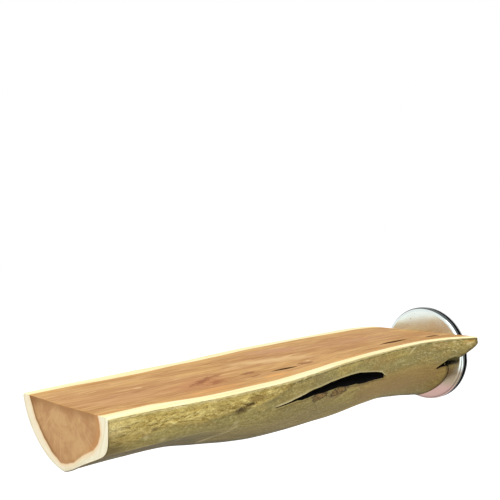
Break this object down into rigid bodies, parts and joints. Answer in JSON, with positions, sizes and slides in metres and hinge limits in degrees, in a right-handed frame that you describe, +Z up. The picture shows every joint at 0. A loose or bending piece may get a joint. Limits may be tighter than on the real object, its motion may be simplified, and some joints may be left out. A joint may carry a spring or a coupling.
{
  "type": "bird perch",
  "caption": "Flat-topped half-log bird perch with a hanger bolt, dished washers and a wing nut that clamp its end to the wires of a cage.",
  "frame": {"origin": "on the bolt's axis, in the plane of the inner washer's rim, which lies against the cage's wires", "axes": "+X along the bolt, out through the cage; +Y to the back edge of the perch; +Z up, square to the flat top"},
  "size_m": [0.2377, 0.076, 0.05],
  "materials": {
    "log_wood": "sawn and lightly sanded top, debarked round sides",
    "bolt_steel": "dull rolled thread",
    "washer_steel": "bright nickel plate",
    "nut_zinc": "zinc plate over a pressed blank"
  },
  "bodies": {
    "perch": {"half_log": "log_wood", "hanger_bolt": "bolt_steel"},
    "inner_washer": {"inner_washer": "washer_steel"},
    "outer_washer": {"outer_washer": "washer_steel"},
    "wing_nut": {"wing_nut": "nut_zinc"}
  },
  "joints": [
    {"name": "inner_washer_turn", "type": "hinge", "parent": "perch", "child": "inner_washer", "pos_m": [-0.001, 0, 0], "axis": [1, 0, 0], "continuous": true},
    {"name": "outer_washer_slide", "type": "slide", "parent": "perch", "child": "outer_washer", "axis": [1, 0, 0], "range_m": [-0.00191, 0.00889]},
    {"name": "wing_nut_turn", "type": "hinge", "parent": "outer_washer", "child": "wing_nut", "pos_m": [0.0041, 0, 0], "axis": [1, 0, 0], "range_deg": [-541, 2521]}
  ],
  "couplings": [
    {"joint": "wing_nut_turn", "follows": "outer_washer_slide", "rad_per_m": 4947.4}
  ]
}
